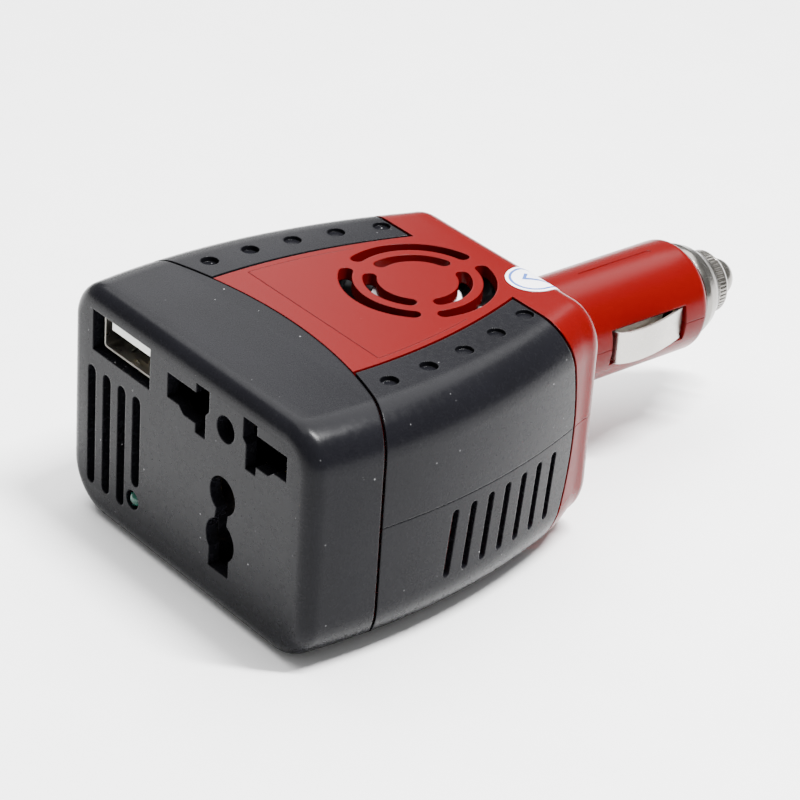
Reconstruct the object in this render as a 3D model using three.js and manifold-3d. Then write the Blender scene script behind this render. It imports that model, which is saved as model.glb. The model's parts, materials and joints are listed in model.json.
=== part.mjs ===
// A 12 V car power inverter: a two-part red case whose nose is a car power plug, four black grip
// panels, a black socket cap with a universal mains outlet and a USB port, and what works inside.
// Millimetres, +Z up, X to the right seen from the socket face, +Y towards the plug's tip.
// The origin is below the middle of the whole object, on the surface that it rests on.
import * as THREE from "three";
import { mergeVertices } from "three/addons/utils/BufferGeometryUtils.js";
import Module from "manifold-3d";

const wasm = await Module();
wasm.setup();

// ---------- driving dimensions ----------
const TOTAL_L = 118.7; // socket face to the tip of the centre pin
const BODY_L = 65.7; // socket face to the flat rear of the case
const HEIGHT = 42.2;
const HALF_W = 33.4; // widest half width of the case
const WIDEST_Y = 18.1; // where it is that wide
const PLAN_R = 114.5; // radius of the bowed sides, seen from above
const TOP_R = 7.3; // long upper edges
const BOTTOM_R = 9.0; // long lower edges
const FRONT_R = 3.1; // edges round the socket face
const REAR_R = 3.8; // edges round the rear
const TAIL_Y = 55.8; // the underside curves up behind this
const TAIL_RISE = 0.0417;
const WALL = 2.2;
const SPLIT_Z = 23.2; // the case parts here, at the height of the plug's axis
const AXIS_Z = SPLIT_Z;
const SEAM = 0.12; // gap at a flat joint between two covers
const GAP = 0.3; // gap at any other fit

const CAP_Y = 20.0; // joint of the socket cap at x = 0; it is an arc seen from above
const CAP_R = 82.0;
const GRIP_T = 1.2; // thickness of the grip panels
const GRIP_X = 18.9; // their inner edge, an arc seen from above
const GRIP_EDGE_R = 98.0;
const GRIP_EDGE_Y = 22.0;
const GRIP_END_Y = 58.6; // their rear edge, an arc seen from the side
const GRIP_END_R = 48.0;
const GROOVE = 0.6; // open groove round the inner edge of the grips

const BARREL_R = 10.0;
const BORE_R = 7.2;
const BARREL_END = 105.3;
const SOCKET_X = 10.5; // centre line of the mains outlet
const FAN_Y = 45.85;
const FAN_SIZE = 30;
const FAN_TOP = HEIGHT - WALL - 0.4;
const FAN_H = 8;
const BOARD_Z = 6.0;
const BOARD_T = 1.6;
const PARTS_Z = BOARD_Z + BOARD_T + 0.1; // what stands on the board starts here

const CORNER_STEPS = 4; // facets round each long edge of the case
const EDGE_STEPS = 3; // facets round its front and rear edges
const STATIONS = 8; // cross-sections between them

// ---------- solids ----------
// A closed three.js geometry as a solid.
function solid(geometry) {
  const bare = geometry.index ? geometry.toNonIndexed() : geometry.clone();
  for (const name of Object.keys(bare.attributes)) {
    if (name !== "position") bare.deleteAttribute(name);
  }
  const merged = mergeVertices(bare, 1e-4);
  const made = new wasm.Manifold(
    new wasm.Mesh({
      numProp: 3,
      vertProperties: new Float32Array(merged.attributes.position.array),
      triVerts: new Uint32Array(merged.index.array),
    }),
  );
  return made;
}

// A solid as a three.js geometry.
function geometryOf(made) {
  const mesh = made.getMesh();
  const geometry = new THREE.BufferGeometry();
  geometry.setAttribute("position", new THREE.BufferAttribute(mesh.vertProperties, 3));
  geometry.setIndex(new THREE.BufferAttribute(mesh.triVerts, 1));
  geometry.computeVertexNormals();
  return geometry;
}

const union = (...solids) => solids.reduce((a, b) => a.add(b));
const cut = (from, ...tools) => tools.reduce((a, b) => a.subtract(b), from);

function box(x0, x1, y0, y1, z0, z1) {
  const geometry = new THREE.BoxGeometry(x1 - x0, y1 - y0, z1 - z0);
  return solid(geometry.translate((x0 + x1) / 2, (y0 + y1) / 2, (z0 + z1) / 2));
}

// A box with its edges along Y rounded.
function roundBar(x0, x1, y0, y1, z0, z1, r) {
  return alongY(roundRect((x0 + x1) / 2, (z0 + z1) / 2, x1 - x0, z1 - z0, r), y0, y1);
}

// A shape drawn in x, y and extruded from z0 to z1.
function alongZ(shape, z0, z1, curveSegments = 3) {
  const geometry = new THREE.ExtrudeGeometry(shape, { depth: z1 - z0, bevelEnabled: false, curveSegments });
  return solid(geometry.translate(0, 0, z0));
}

// A shape drawn in x, z and extruded from y0 to y1.
function alongY(shape, y0, y1, curveSegments = 3) {
  const geometry = new THREE.ExtrudeGeometry(shape, { depth: y1 - y0, bevelEnabled: false, curveSegments });
  return solid(geometry.rotateX(Math.PI / 2).translate(0, y1, 0));
}

// A shape drawn in y, z and extruded from x0 to x1.
function alongX(shape, x0, x1, curveSegments = 3) {
  const geometry = new THREE.ExtrudeGeometry(shape, { depth: x1 - x0, bevelEnabled: false, curveSegments });
  const turn = new THREE.Matrix4().makeBasis(
    new THREE.Vector3(0, 1, 0),
    new THREE.Vector3(0, 0, 1),
    new THREE.Vector3(1, 0, 0),
  );
  return solid(geometry.applyMatrix4(turn).translate(x0, 0, 0));
}

function polygon(points) {
  return new THREE.Shape(points.map(([u, v]) => new THREE.Vector2(u, v)));
}

function roundRect(cx, cy, w, h, r) {
  const shape = new THREE.Shape();
  const corners = [
    [cx + w / 2 - r, cy - h / 2 + r, -Math.PI / 2],
    [cx + w / 2 - r, cy + h / 2 - r, 0],
    [cx - w / 2 + r, cy + h / 2 - r, Math.PI / 2],
    [cx - w / 2 + r, cy - h / 2 + r, Math.PI],
  ];
  for (const [x, y, from] of corners) shape.absarc(x, y, r, from, from + Math.PI / 2, false);
  return shape;
}

function disc(cx, cy, r) {
  return new THREE.Shape().absarc(cx, cy, r, 0, 2 * Math.PI, false);
}

const rodZ = (x, y, r, z0, z1, sides = 20) => alongZ(disc(x, y, r), z0, z1, sides / 2);
const rodY = (x, z, r, y0, y1, sides = 20) => alongY(disc(x, z, r), y0, y1, sides / 2);

// A turned piece about the plug's axis: [radius, y] pairs, from the axis to the axis or closed.
function turned(profile, segments = 30) {
  const points = profile.map(([r, y]) => new THREE.Vector2(r, y));
  const geometry = new THREE.LatheGeometry(points, segments);
  const made = solid(geometry.translate(0, 0, AXIS_Z));
  return made.volume() < 0 ? solid(flipped(geometry)) : made;
}

function flipped(geometry) {
  const index = geometry.index.array;
  for (let i = 0; i < index.length; i += 3) [index[i + 1], index[i + 2]] = [index[i + 2], index[i + 1]];
  return geometry;
}

// A round wire through the points.
function wire(points, radius, steps = 16) {
  const path = new THREE.CatmullRomCurve3(points.map((p) => new THREE.Vector3(...p)));
  return solid(
    new THREE.ExtrudeGeometry(disc(0, 0, radius), { extrudePath: path, steps, curveSegments: 3 }),
  );
}

// ---------- the case's outer form ----------
const halfWidth = (y) => HALF_W - (y - WIDEST_Y) ** 2 / (2 * PLAN_R);
const underside = (y) => TAIL_RISE * Math.max(0, y - TAIL_Y) ** 2;

// One cross-section of the case at y, taken in by inset on every side.
function section(y, formY, inset) {
  const w = halfWidth(formY) - inset;
  const top = HEIGHT - inset;
  const bottom = underside(formY) + inset;
  const rt = Math.max(TOP_R - inset, 0.5);
  const rb = Math.max(BOTTOM_R - inset, 0.5);
  const corners = [
    [w - rt, top - rt, rt, 0],
    [-w + rt, top - rt, rt, 1],
    [-w + rb, bottom + rb, rb, 2],
    [w - rb, bottom + rb, rb, 3],
  ];
  const ring = [];
  for (const [cx, cz, r, quarter] of corners) {
    for (let i = 0; i <= CORNER_STEPS; i++) {
      const a = ((quarter + i / CORNER_STEPS) * Math.PI) / 2;
      ring.push([cx + r * Math.cos(a), y, cz + r * Math.sin(a)]);
    }
  }
  return ring;
}

// A closed skin through rings of equal length, with a flat end on the first and the last.
function loft(rings) {
  const n = rings[0].length;
  const position = rings.flat(2);
  const index = [];
  for (let s = 0; s + 1 < rings.length; s++) {
    for (let i = 0; i < n; i++) {
      const [a, b] = [s * n + i, s * n + ((i + 1) % n)];
      index.push(a, b, b + n, a, b + n, a + n);
    }
  }
  const last = (rings.length - 1) * n;
  for (let i = 1; i + 1 < n; i++) {
    index.push(0, i + 1, i, last, last + i, last + i + 1);
  }
  const geometry = new THREE.BufferGeometry();
  geometry.setAttribute("position", new THREE.Float32BufferAttribute(position, 3));
  geometry.setIndex(index);
  const made = solid(geometry);
  return made.volume() < 0 ? solid(flipped(geometry)) : made;
}

// The whole case as a solid, taken in by inset everywhere.
function caseForm(inset) {
  const rings = [];
  const [y0, y1] = [inset, BODY_L - inset];
  const rf = Math.max(FRONT_R - inset, 0.4);
  const rr = Math.max(REAR_R - inset, 0.4);
  for (let i = EDGE_STEPS; i > 0; i--) {
    const a = ((i / EDGE_STEPS) * Math.PI) / 2;
    rings.push(section(y0 + rf * (1 - Math.sin(a)), y0 + rf, inset + rf * (1 - Math.cos(a))));
  }
  for (let i = 0; i <= STATIONS; i++) {
    const y = y0 + rf + ((y1 - rr - y0 - rf) * i) / STATIONS;
    rings.push(section(y, y, inset));
  }
  for (let i = 1; i <= EDGE_STEPS; i++) {
    const a = ((i / EDGE_STEPS) * Math.PI) / 2;
    rings.push(section(y1 - rr + rr * Math.sin(a), y1 - rr, inset + rr * (1 - Math.cos(a))));
  }
  return loft(rings);
}

// What lies in front of the cap's arched joint; clear moves the joint back.
function frontOfJoint(clear) {
  return alongZ(disc(0, CAP_Y - CAP_R, CAP_R + clear), -5, HEIGHT + 5, 48);
}

// The region of one side's grip panels, widened by clear at its inner and rear edges.
function gripRegion(side, clear) {
  const points = [];
  const steps = 9;
  for (let i = 0; i <= steps; i++) {
    const y = 8 + ((62 - 8) * i) / steps;
    points.push([side * (GRIP_X - clear - (y - GRIP_EDGE_Y) ** 2 / (2 * GRIP_EDGE_R)), y]);
  }
  points.push([side * 45, 62], [side * 45, 8]);
  if (side < 0) points.reverse();
  const plan = alongZ(polygon(points), -5, HEIGHT + 5);
  const rear = alongX(disc(GRIP_END_Y - GRIP_END_R, SPLIT_Z, GRIP_END_R + clear), -50, 50, 24);
  return plan.intersect(rear);
}

const above = box(-60, 60, -10, TOTAL_L + 10, SPLIT_Z + SEAM / 2, HEIGHT + 10);
const below = box(-60, 60, -10, TOTAL_L + 10, -10, SPLIT_Z - SEAM / 2);
const outer = caseForm(0);
const underGrip = caseForm(GRIP_T + 0.05);
const inner = caseForm(WALL);

// ---------- openings ----------
const ventShape = (u, z0, z1, w) => roundRect(u, (z0 + z1) / 2, w, z1 - z0, w / 2 - 0.02);

// The seven upright slots low on each side.
const SIDE_VENTS = 7;
const SIDE_VENT_Y = 28.6;
const SIDE_VENT_PITCH = 4.1;
const SIDE_VENT_LEAN = 6; // degrees, the lower ends towards the front
function sideVents() {
  const cuts = [];
  for (let i = 0; i < SIDE_VENTS; i++) {
    const slot = alongX(ventShape(0, -12, 0, 1.4), -40, 40, 1).rotate([-SIDE_VENT_LEAN, 0, 0]);
    cuts.push(slot.translate([0, SIDE_VENT_Y + i * SIDE_VENT_PITCH, HEIGHT - 20.9]));
  }
  return union(...cuts);
}

// A ring slot of the fan grille, broken by three bridges.
const BRIDGE_ANGLES = [90, 210, 330];
function ringSlot(r0, r1, bridge) {
  const middle = (r0 + r1) / 2;
  const end = (r1 - r0) / 2;
  const halfGap = (bridge / 2 + end) / middle;
  const arcs = BRIDGE_ANGLES.map((deg) => {
    const from = THREE.MathUtils.degToRad(deg) + halfGap;
    const to = THREE.MathUtils.degToRad(deg + 120) - halfGap;
    const shape = new THREE.Shape();
    shape.absarc(0, 0, r1, from, to, false);
    shape.absarc(middle * Math.cos(to), middle * Math.sin(to), end, to, to + Math.PI, false);
    shape.absarc(0, 0, r0, to, from, true);
    shape.absarc(middle * Math.cos(from), middle * Math.sin(from), end, from + Math.PI, from + 2 * Math.PI, false);
    return alongZ(shape, HEIGHT - WALL - 2, HEIGHT + 1, 3).translate([0, FAN_Y, 0]);
  });
  return union(...arcs);
}

// ---------- the red case ----------
const SCREWS = [
  [-15, 25],
  [15, 25],
  [-18.8, 58.2],
  [18.8, 58.2],
];
const CLIP_Y0 = 82.4;
const CLIP_Y1 = 98.9;
const CLIP_W = 6.0;

const barrel = turned([
  [0, BODY_L - 3],
  [BARREL_R, BODY_L - 3],
  [BARREL_R, BARREL_END - 2.2],
  [BARREL_R - 0.35, BARREL_END - 1.1],
  [BARREL_R - 1.1, BARREL_END],
  [0, BARREL_END],
]);
const bore = rodY(0, AXIS_Z, BORE_R, BODY_L - 8, BARREL_END + 5, 30);
const clipWindows = box(-20, 20, CLIP_Y0 - 0.4, CLIP_Y1 + 0.4, AXIS_Z - CLIP_W / 2 - 0.3, AXIS_Z + CLIP_W / 2 + 0.3);
const barrelGrooves = union(
  roundBar(-0.5, 0.5, CLIP_Y0, CLIP_Y1, AXIS_Z + BARREL_R - 0.6, AXIS_Z + BARREL_R + 1, 0.2),
  roundBar(-0.5, 0.5, CLIP_Y0, CLIP_Y1, AXIS_Z - BARREL_R - 1, AXIS_Z - BARREL_R + 0.6, 0.2),
);
const recesses = union(gripRegion(1, GROOVE), gripRegion(-1, GROOVE)).subtract(underGrip);
const redCase = cut(
  union(cut(outer, inner, recesses), barrel),
  bore,
  clipWindows,
  barrelGrooves,
  frontOfJoint(SEAM),
  sideVents(),
);

function upperShell() {
  const bosses = SCREWS.map(([x, y]) => rodZ(x, y, 3.2, 9.7, HEIGHT - WALL + 0.3, 12));
  const pilots = SCREWS.map(([x, y]) => rodZ(x, y, 1.5, 5, 19, 8));
  const seated = union(...bosses).intersect(caseForm(WALL - 0.3));
  const grille = union(ringSlot(10.7, 13.0, 2.7), ringSlot(6.7, 9.0, 2.7));
  return cut(union(redCase.intersect(above), seated), ...pilots, grille);
}

function lowerShell() {
  const pillars = SCREWS.map(([x, y]) => rodZ(x, y, 3.2, 1, 9.5, 12));
  const heads = SCREWS.map(([x, y]) => rodZ(x, y, 2.9, -1, 4.0, 12));
  const shanks = SCREWS.map(([x, y]) => rodZ(x, y, 1.6, 0, 12, 8));
  const rests = [-1, 1].flatMap((a) => [32, 52].map((y) => rodZ(a * 10, y, 1.5, 1, BOARD_Z - 0.04, 8)));
  const seated = union(...pillars, ...rests).intersect(caseForm(1.4));
  return cut(union(redCase.intersect(below), seated), ...heads, ...shanks);
}

// ---------- black grip panels ----------
const DIMPLE_Y = [21.2, 29.2, 37.2, 45.1, 53.0];
const dimpleX = (y) => 23.5 - (y - GRIP_EDGE_Y) ** 2 / (2 * 94);

function gripPanel(side, half) {
  const skin = cut(outer, caseForm(GRIP_T)).intersect(gripRegion(side, 0));
  const panel = cut(skin.intersect(half), frontOfJoint(SEAM));
  if (half === below) return cut(panel, sideVents());
  const dimples = DIMPLE_Y.map((y) => rodZ(side * dimpleX(y), y, 1.5, HEIGHT - 0.7, HEIGHT + 1, 10));
  return cut(panel, ...dimples);
}

// ---------- black socket cap ----------
const fromTop = (z) => HEIGHT - z;
const USB = { x0: -25.75, x1: -9.8, z0: fromTop(11.1), z1: fromTop(3.8) };
const FRONT_VENTS = [
  [-25.85, 36.3],
  [-21.6, 36.3],
  [-17.4, 36.3],
  [-13.25, 30.8],
];
const LED = { x: -13.85, z: fromTop(33.6), r: 1.65 };
const CENTRE_HOLE = { x: SOCKET_X, z: fromTop(8.4), r: 2.3 };

// The left of the two pin openings, as distances from the socket's centre line and the top.
const PIN_OPENING = [
  [-15.5, 5.6],
  [-7.9, 5.6],
  [-7.9, 3.9],
  [-4.4, 3.9],
  [-4.4, 7.5],
  [-5.25, 8.4],
  [-5.25, 12.7],
  [-7.9, 12.7],
  [-7.9, 11.1],
  [-11.0, 11.1],
  [-12.4, 9.95],
  [-15.5, 9.95],
];
function pinOpening(side) {
  const points = PIN_OPENING.map(([u, z]) => [SOCKET_X - side * u, fromTop(z)]);
  if (side > 0) return polygon(points);
  return polygon(points.reverse());
}

// The earth opening: two overlapping round holes over a blade slot.
function earthOpening(y0, y1) {
  return union(
    rodY(SOCKET_X - 0.2, fromTop(20.4), 3.2, y0, y1, 18),
    rodY(SOCKET_X - 0.5, fromTop(28.7), 3.6, y0, y1, 18),
    box(SOCKET_X - 1.4, SOCKET_X + 0.2, y0, y1, fromTop(26.2), fromTop(22.2)),
    box(SOCKET_X - 3.3, SOCKET_X + 1.9, y0, y1, fromTop(34.7), fromTop(29.5)),
  );
}

const FACE_T = 2.4;
function socketCap() {
  const shell = cut(outer.intersect(frontOfJoint(0)), inner);
  const y0 = -1;
  const y1 = FACE_T + 1;
  return cut(
    shell,
    box(USB.x0, USB.x1, y0, y1, USB.z0, USB.z1),
    ...FRONT_VENTS.map(([x, low]) => alongY(ventShape(x, fromTop(low), fromTop(14.1), 2.2), y0, y1, 2)),
    rodY(LED.x, LED.z, LED.r, y0, y1, 16),
    rodY(CENTRE_HOLE.x, CENTRE_HOLE.z, CENTRE_HOLE.r, y0, y1, 20),
    alongY(pinOpening(-1), y0, y1),
    alongY(pinOpening(1), y0, y1),
    earthOpening(y0, y1),
  );
}

// ---------- outlet, USB port and lamp ----------
const INSERT_Y0 = FACE_T + 0.1;
const INSERT_Y1 = 14;
function socketInsert() {
  const block = roundBar(-6.9, 28.0, INSERT_Y0, INSERT_Y1, fromTop(37), fromTop(2.8), 1.5).intersect(
    caseForm(WALL + GAP),
  );
  const y0 = INSERT_Y0 - 1;
  const wells = [-1, 1].map((side) => {
    const x = SOCKET_X + side * 10;
    return box(x - 6.4, x + 6.4, y0, 12.2, fromTop(13.2), fromTop(3.5));
  });
  const earthWell = box(SOCKET_X - 4.3, SOCKET_X + 4.3, y0, 12.2, fromTop(35.2), fromTop(16.8));
  const pilot = rodY(CENTRE_HOLE.x, CENTRE_HOLE.z, 2.0, y0, 9, 16);
  return cut(block, ...wells, earthWell, pilot);
}

// A folded brass contact: a back plate with two springy jaws.
function jawContact(x, z, w, h) {
  const [y0, y1] = [6.5, 11.9];
  return union(
    box(x - w / 2, x + w / 2, y1 - 0.6, y1, z - h / 2, z + h / 2),
    box(x - w / 2, x - w / 2 + 0.6, y0, y1, z - h / 2, z + h / 2),
    box(x + w / 2 - 0.6, x + w / 2, y0, y1, z - h / 2, z + h / 2),
  );
}

const USB_SHELL = { x0: -24.2, x1: -10.4, z0: fromTop(10.2), z1: fromTop(4.0), t: 0.35 };
const USB_BACK = 15.0;
function usbShell() {
  const { x0, x1, z0, z1, t } = USB_SHELL;
  const sleeve = cut(
    roundBar(x0, x1, 1.0, USB_BACK, z0, z1, 0.7),
    roundBar(x0 + t, x1 - t, 0, USB_BACK - 0.6, z0 + t, z1 - t, 0.4),
  );
  return sleeve;
}

function usbTongue() {
  const { x0, x1, z1, t } = USB_SHELL;
  return box(x0 + 1.6, x1 - 1.2, 1.6, USB_BACK - 0.8, z1 - t - 2.3, z1 - t - 0.5);
}

function usbContact(i) {
  const x = USB_SHELL.x0 + 3.2 + i * 2.5;
  const z = USB_SHELL.z1 - USB_SHELL.t - 2.3;
  return box(x - 0.5, x + 0.5, 2.4, USB_BACK - 1, z - 0.35, z - 0.05);
}

const lamp = () =>
  solid(
    new THREE.LatheGeometry(
      [
        [0, -5.5],
        [1.5, -5.5],
        [1.5, -1.5],
        [1.3, -0.8],
        [0.75, -0.35],
        [0, -0.2],
      ].map(([r, y]) => new THREE.Vector2(r, y)),
      16,
    )
      .rotateX(Math.PI)
      .translate(LED.x, 0, LED.z),
  );

// ---------- circuit ----------
function mainBoard() {
  const right = [
    [11.3, 20.8],
    [11.3, 28.6],
    [26.2, 28.6],
    [25.2, 40],
    [22.6, 54.5],
    [15, 54.5],
    [15, 60.5],
  ];
  const left = right.map(([x, y]) => [-x, y]).reverse();
  return alongZ(polygon([...right, ...left]), BOARD_Z, BOARD_Z + BOARD_T);
}

const usbBoard = () => box(-26.5, -8.2, FACE_T + 0.4, 17.6, USB_SHELL.z0 - 1.7, USB_SHELL.z0 - 0.1);

const TRANSFORMER = { x: 0, y: 31, w: 22, d: 15, h: 19 };
function transformerCore() {
  const { x, y, w, d, h } = TRANSFORMER;
  const ring = cut(
    box(x - w / 2, x + w / 2, y - d / 2, y + d / 2, PARTS_Z, PARTS_Z + h),
    box(x - w / 2 + 3, x + w / 2 - 3, y - d, y + d, PARTS_Z + 3.5, PARTS_Z + h - 3.5),
  );
  return ring.add(box(x - 2.5, x + 2.5, y - d / 2, y + d / 2, PARTS_Z + 3, PARTS_Z + h - 3));
}

function transformerCoil() {
  const { x, y, w, d, h } = TRANSFORMER;
  const wound = alongZ(roundRect(x, y, w - 6.6, d + 7, 3), PARTS_Z + 3.8, PARTS_Z + h - 3.8);
  return wound.subtract(box(x - 2.8, x + 2.8, y - d / 2 - 0.3, y + d / 2 + 0.3, 0, HEIGHT));
}

// A finned plate against each side wall, with its fins towards the vents.
function heatSink(side) {
  const points = [[0, 28], [2, 28]];
  const fins = 6;
  for (let i = 0; i < fins; i++) {
    const y = 29.2 + i * 3.6;
    points.push([2, y], [4.2, y], [4.2, y + 1], [2, y + 1]);
  }
  points.push([2, 50], [0, 50]);
  const plan = points.map(([x, y]) => [side * (20.2 + x), y]);
  if (side < 0) plan.reverse();
  return alongZ(polygon(plan), PARTS_Z, 29.5);
}

function transistor(side, y) {
  const face = side * 20.1;
  const tab = [face, face - side * 1.2].sort((a, b) => a - b);
  const block = [face - side * 1.0, face - side * 4.4].sort((a, b) => a - b);
  return union(
    box(tab[0], tab[1], y - 4.9, y + 4.9, PARTS_Z + 3, PARTS_Z + 18),
    box(block[0], block[1], y - 4.9, y + 4.9, PARTS_Z + 3, PARTS_Z + 12),
    ...[-2.5, 0, 2.5].map((u) =>
      box(face - side * 2.2 - 0.35, face - side * 2.2 + 0.35, y + u - 0.4, y + u + 0.4, PARTS_Z, PARTS_Z + 3.5),
    ),
  );
}

const capacitor = (x) => rodZ(x, 50, 4.8, PARTS_Z, PARTS_Z + 20, 14);

// ---------- fan ----------
const HUB_R = 7.9;
const BLADE_R = 13.4;
function fanFrame() {
  const half = FAN_SIZE / 2;
  const [z0, z1] = [FAN_TOP - FAN_H, FAN_TOP];
  const plate = alongZ(roundRect(0, FAN_Y, FAN_SIZE, FAN_SIZE, 2), z0, z1, 1);
  const mouth = rodZ(0, FAN_Y, 14.1, z0 - 1, z1 + 1, 28);
  const seat = rodZ(0, FAN_Y, HUB_R, z0, z0 + 1, 24);
  const struts = BRIDGE_ANGLES.map((deg) =>
    box(0, 14.6, -0.9, 0.9, z0, z0 + 1).rotate([0, 0, deg]).translate([0, FAN_Y, 0]),
  );
  const holes = [-1, 1].flatMap((a) =>
    [-1, 1].map((b) => rodZ(a * (half - 2.6), FAN_Y + b * (half - 2.6), 1.1, z0 - 1, z1 + 1, 8)),
  );
  const shaft = rodZ(0, FAN_Y, 1.0, z0, z0 + 4, 12);
  return cut(union(cut(plate, mouth), seat, shaft, ...struts), ...holes);
}

function fanRotor() {
  const [z0, z1] = [FAN_TOP - FAN_H + 1.3, FAN_TOP - 0.5];
  const hub = rodZ(0, 0, HUB_R - 0.2, z0, z1, 28);
  const blades = [];
  for (let i = 0; i < 7; i++) {
    const blade = box(HUB_R - 1.2, BLADE_R, -0.4, 0.4, -3.4, 3.4);
    blades.push(blade.rotate([38, 0, 0]).rotate([0, 0, (i * 360) / 7]).translate([0, 0, (z0 + z1) / 2]));
  }
  const swept = union(hub, ...blades).intersect(rodZ(0, 0, BLADE_R, z0, z1, 28));
  return swept.subtract(rodZ(0, 0, 1.12, z0 - 1, z0 + 3.5, 12)).translate([0, FAN_Y, 0]);
}

const rotorLabel = () => rodZ(0, FAN_Y, HUB_R - 0.5, FAN_TOP - 0.45, FAN_TOP - 0.25, 28);

// ---------- plug ----------
// The bowed strip that touches the side of the car's socket.
const CLIP_BOW = [
  [8.0, CLIP_Y0 + 0.3],
  [10.0, CLIP_Y0 + 0.4],
  [10.9, CLIP_Y0 + 1.9],
  [11.3, CLIP_Y0 + 4.6],
  [11.1, CLIP_Y0 + 8.6],
  [10.3, CLIP_Y0 + 12.6],
  [9.2, CLIP_Y1],
];
const CLIP_T = 0.5;
function sideContact(side) {
  const curve = new THREE.SplineCurve(CLIP_BOW.map(([x, y]) => new THREE.Vector2(x, y)));
  const outside = curve.getPoints(18);
  const inside = outside.map((p, i) => {
    const t = curve.getTangent(i / 18);
    return new THREE.Vector2(p.x - t.y * CLIP_T, p.y + t.x * CLIP_T);
  });
  const points = [...outside, ...inside.reverse()].map((p) => [side * p.x, p.y]);
  if (side < 0) points.reverse();
  const [z0, z1] = [AXIS_Z - CLIP_W / 2, AXIS_Z + CLIP_W / 2];
  return alongZ(polygon(points), z0, z1);
}

const NOSE_Y = 105.6; // where the metal nose meets the red barrel
const noseBush = () =>
  turned([
    [6.2, 99.6],
    [BORE_R - 0.1, 99.6],
    [BORE_R - 0.1, BARREL_END],
    [6.2, BARREL_END],
    [6.2, 99.6],
  ]);

// The knurled cap that screws in and holds the pin and the fuse.
const KNURLS = 16;
function retainingCap() {
  const form = turned([
    [4.35, 100.5],
    [6.0, 100.5],
    [6.0, NOSE_Y],
    [8.4, NOSE_Y],
    [8.6, NOSE_Y + 1.2],
    [7.8, NOSE_Y + 3.2],
    [7.1, NOSE_Y + 3.5],
    [6.1, NOSE_Y + 5.6],
    [5.7, NOSE_Y + 5.9],
    [5.7, NOSE_Y + 7.8],
    [5.1, NOSE_Y + 8.4],
    [3.9, NOSE_Y + 8.4],
    [3.9, NOSE_Y + 2.0],
    [4.35, NOSE_Y + 2.0],
    [4.35, 100.5],
  ]);
  const notches = [];
  for (let i = 0; i < KNURLS; i++) {
    const a = (i * 2 * Math.PI) / KNURLS;
    notches.push(
      rodY(5.85 * Math.cos(a), AXIS_Z + 5.85 * Math.sin(a), 0.35, NOSE_Y + 6.1, NOSE_Y + 7.6, 4),
    );
  }
  const flange = turned([
    [0, 100],
    [4.9, 100],
    [4.9, NOSE_Y + 2.3],
    [0, NOSE_Y + 2.3],
  ]);
  return cut(form, union(...notches), flange);
}

const capWasher = () =>
  turned([
    [6.3, BARREL_END + 0.04],
    [8.2, BARREL_END + 0.04],
    [8.2, NOSE_Y - 0.04],
    [6.3, NOSE_Y - 0.04],
    [6.3, BARREL_END + 0.04],
  ]);

const PIN_R = 3.6;
const centrePin = () =>
  turned(
    [
      [0, NOSE_Y + 0.4],
      [4.6, NOSE_Y + 0.4],
      [4.6, NOSE_Y + 1.9],
      [PIN_R, NOSE_Y + 1.9],
      [PIN_R, TOTAL_L - 3.4],
      [PIN_R * 0.94, TOTAL_L - 2.3],
      [PIN_R * 0.76, TOTAL_L - 1.2],
      [PIN_R * 0.45, TOTAL_L - 0.35],
      [0, TOTAL_L],
    ],
    28,
  );

const FUSE_Y0 = 75.9;
const FUSE_Y1 = NOSE_Y + 0.3;
const FUSE_CAP_L = 6.5;
const fuseCap = (y0) => rodY(0, AXIS_Z, 3.2, y0, y0 + FUSE_CAP_L, 16);
const fuseGlass = () => rodY(0, AXIS_Z, 2.8, FUSE_Y0 + FUSE_CAP_L + 0.05, FUSE_Y1 - FUSE_CAP_L - 0.05, 16);
const fuseSleeve = () =>
  turned(
    [
      [3.6, 70],
      [4.6, 70],
      [4.6, 99],
      [3.6, 99],
      [3.6, 70],
    ],
    24,
  );
const springSeat = () => rodY(0, AXIS_Z, 4.6, 66.2, 67.2, 20);

function pinSpring() {
  const points = [];
  const turns = 4;
  for (let i = 0; i <= turns * 12; i++) {
    const a = (i * Math.PI) / 6;
    points.push([2.4 * Math.cos(a), 67.7 + (7.7 * i) / (turns * 12), AXIS_Z + 2.4 * Math.sin(a)]);
  }
  return wire(points, 0.35, turns * 10);
}

// Each lead's path, from the contact to the board.
const LEADS = {
  positive_lead: [
    [0, 65.9, AXIS_Z - 2.6],
    [0, 63.2, AXIS_Z - 3.6],
    [1, 61.2, AXIS_Z - 8],
    [3, 59.6, 12],
    [3, 59, PARTS_Z],
  ],
  negative_lead: [
    [-5.9, 81, AXIS_Z],
    [-5.9, 74, AXIS_Z],
    [-5.9, 66, AXIS_Z - 0.1],
    [-6, 62.2, 21],
    [-7, 59.6, 13],
    [-7, 58.8, PARTS_Z],
  ],
  live_lead: [
    [20.1, 14.4, fromTop(8.3)],
    [19.6, 16.8, fromTop(10)],
    [14, 18.9, 26],
    [10, 20.4, 16],
    [9.8, 22, PARTS_Z],
  ],
  neutral_lead: [
    [0.9, 14.4, fromTop(8.3)],
    [0.4, 16.8, fromTop(10)],
    [-5, 18.9, 26],
    [-9.6, 20.4, 16],
    [-9.8, 22, PARTS_Z],
  ],
};

// ---------- fasteners and sticker ----------
function caseScrew([x, y]) {
  const head = rodZ(x, y, 2.6, 1.9, 3.9, 14);
  const slots = union(
    box(x - 1.6, x + 1.6, y - 0.3, y + 0.3, 1.5, 2.8),
    box(x - 0.3, x + 0.3, y - 1.6, y + 1.6, 1.5, 2.8),
  );
  return cut(union(head, rodZ(x, y, 1.25, 3.8, 17, 8)), slots);
}

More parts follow.
